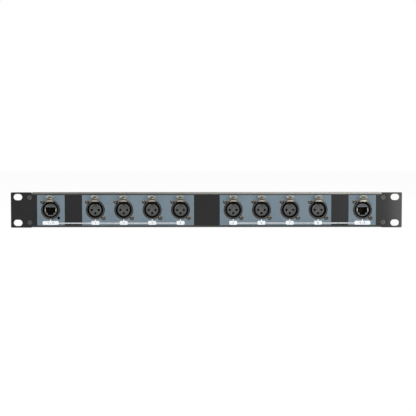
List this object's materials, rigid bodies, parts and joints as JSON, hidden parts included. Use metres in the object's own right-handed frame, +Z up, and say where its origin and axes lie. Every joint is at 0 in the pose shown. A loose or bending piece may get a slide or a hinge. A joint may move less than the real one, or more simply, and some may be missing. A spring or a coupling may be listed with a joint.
{
  "type": "rack breakout panel",
  "caption": "Flat black rack panel that splits two round RJ45 data inputs into rows of female 3-pin XLR outputs for stage lighting, with push latches and a rear cover.",
  "frame": {"origin": "middle of the panel's rear face, the plane in which the ears meet the rack's rails", "axes": "+X along the panel to the right seen from the front, +Y to the back of the rack, +Z up"},
  "size_m": [0.4826, 0.0497, 0.0436],
  "materials": {
    "panel_paint": "satin black powder coat with blue-grey printed fields",
    "cover_paint": "fine matt black powder coat",
    "circuit_board": "green solder mask",
    "black_screw": "black zinc, satin",
    "nickel_screw": "nickel plate, a little dull",
    "housing_plastic": "satin black glass-filled plastic",
    "insert_plastic": "matt dark grey moulded plastic",
    "spring_steel": "tinned spring sheet",
    "nickel": "satin nickel plate"
  },
  "bodies": {
    "chassis": {"front_panel": "panel_paint", "rear_cover": "cover_paint", "breakout_board_left": "circuit_board", "cover_screw_left_upper": "black_screw", "cover_screw_left_lower": "black_screw", "breakout_board_right": "circuit_board", "cover_screw_right_upper": "black_screw", "cover_screw_right_lower": "black_screw", "output_1_screw_upper": "nickel_screw", "output_1_screw_lower": "nickel_screw", "output_1_housing": "housing_plastic", "output_1_insert": "insert_plastic", "output_2_screw_upper": "nickel_screw", "output_2_screw_lower": "nickel_screw", "output_2_housing": "housing_plastic", "output_2_insert": "insert_plastic", "output_3_screw_upper": "nickel_screw", "output_3_screw_lower": "nickel_screw", "output_3_housing": "housing_plastic", "output_3_insert": "insert_plastic", "output_4_screw_upper": "nickel_screw", "output_4_screw_lower": "nickel_screw", "output_4_housing": "housing_plastic", "output_4_insert": "insert_plastic", "output_5_screw_upper": "nickel_screw", "output_5_screw_lower": "nickel_screw", "output_5_housing": "housing_plastic", "output_5_insert": "insert_plastic", "output_6_screw_upper": "nickel_screw", "output_6_screw_lower": "nickel_screw", "output_6_housing": "housing_plastic", "output_6_insert": "insert_plastic", "output_7_screw_upper": "nickel_screw", "output_7_screw_lower": "nickel_screw", "output_7_housing": "housing_plastic", "output_7_insert": "insert_plastic", "output_8_screw_upper": "nickel_screw", "output_8_screw_lower": "nickel_screw", "output_8_housing": "housing_plastic", "output_8_insert": "insert_plastic", "input_left_screw_upper": "nickel_screw", "input_left_housing": "housing_plastic", "input_left_jack": "insert_plastic", "input_left_shield": "spring_steel", "input_right_screw_upper": "nickel_screw", "input_right_screw_lower": "nickel_screw", "input_right_housing": "housing_plastic", "input_right_jack": "insert_plastic", "input_right_shield": "spring_steel"},
    "output_1_latch_body": {"output_1_latch": "nickel"},
    "output_2_latch_body": {"output_2_latch": "nickel"},
    "output_3_latch_body": {"output_3_latch": "nickel"},
    "output_4_latch_body": {"output_4_latch": "nickel"},
    "output_5_latch_body": {"output_5_latch": "nickel"},
    "output_6_latch_body": {"output_6_latch": "nickel"},
    "output_7_latch_body": {"output_7_latch": "nickel"},
    "output_8_latch_body": {"output_8_latch": "nickel"},
    "input_left_latch_body": {"input_left_latch": "nickel"},
    "input_right_latch_body": {"input_right_latch": "nickel"}
  },
  "joints": [
    {"name": "output_1_push", "type": "hinge", "parent": "chassis", "child": "output_1_latch_body", "pos_m": [-0.1375, 0.0016, 0.0096], "axis": [1, 0, 0], "range_deg": [0, 8], "stiffness_Nm_per_rad": 0.12, "springref_deg": -5.73},
    {"name": "output_2_push", "type": "hinge", "parent": "chassis", "child": "output_2_latch_body", "pos_m": [-0.1025, 0.0016, 0.0096], "axis": [1, 0, 0], "range_deg": [0, 8], "stiffness_Nm_per_rad": 0.12, "springref_deg": -5.73},
    {"name": "output_3_push", "type": "hinge", "parent": "chassis", "child": "output_3_latch_body", "pos_m": [-0.0675, 0.0016, 0.0096], "axis": [1, 0, 0], "range_deg": [0, 8], "stiffness_Nm_per_rad": 0.12, "springref_deg": -5.73},
    {"name": "output_4_push", "type": "hinge", "parent": "chassis", "child": "output_4_latch_body", "pos_m": [-0.0325, 0.0016, 0.0096], "axis": [1, 0, 0], "range_deg": [0, 8], "stiffness_Nm_per_rad": 0.12, "springref_deg": -5.73},
    {"name": "output_5_push", "type": "hinge", "parent": "chassis", "child": "output_5_latch_body", "pos_m": [0.0325, 0.0016, 0.0096], "axis": [1, 0, 0], "range_deg": [0, 8], "stiffness_Nm_per_rad": 0.12, "springref_deg": -5.73},
    {"name": "output_6_push", "type": "hinge", "parent": "chassis", "child": "output_6_latch_body", "pos_m": [0.0675, 0.0016, 0.0096], "axis": [1, 0, 0], "range_deg": [0, 8], "stiffness_Nm_per_rad": 0.12, "springref_deg": -5.73},
    {"name": "output_7_push", "type": "hinge", "parent": "chassis", "child": "output_7_latch_body", "pos_m": [0.1025, 0.0016, 0.0096], "axis": [1, 0, 0], "range_deg": [0, 8], "stiffness_Nm_per_rad": 0.12, "springref_deg": -5.73},
    {"name": "output_8_push", "type": "hinge", "parent": "chassis", "child": "output_8_latch_body", "pos_m": [0.1375, 0.0016, 0.0096], "axis": [1, 0, 0], "range_deg": [0, 8], "stiffness_Nm_per_rad": 0.12, "springref_deg": -5.73},
    {"name": "input_left_push", "type": "hinge", "parent": "chassis", "child": "input_left_latch_body", "pos_m": [-0.1925, 0.0016, 0.0096], "axis": [1, 0, 0], "range_deg": [0, 8], "stiffness_Nm_per_rad": 0.12, "springref_deg": -5.73},
    {"name": "input_right_push", "type": "hinge", "parent": "chassis", "child": "input_right_latch_body", "pos_m": [0.1925, 0.0016, 0.0096], "axis": [1, 0, 0], "range_deg": [0, 8], "stiffness_Nm_per_rad": 0.12, "springref_deg": -5.73}
  ]
}
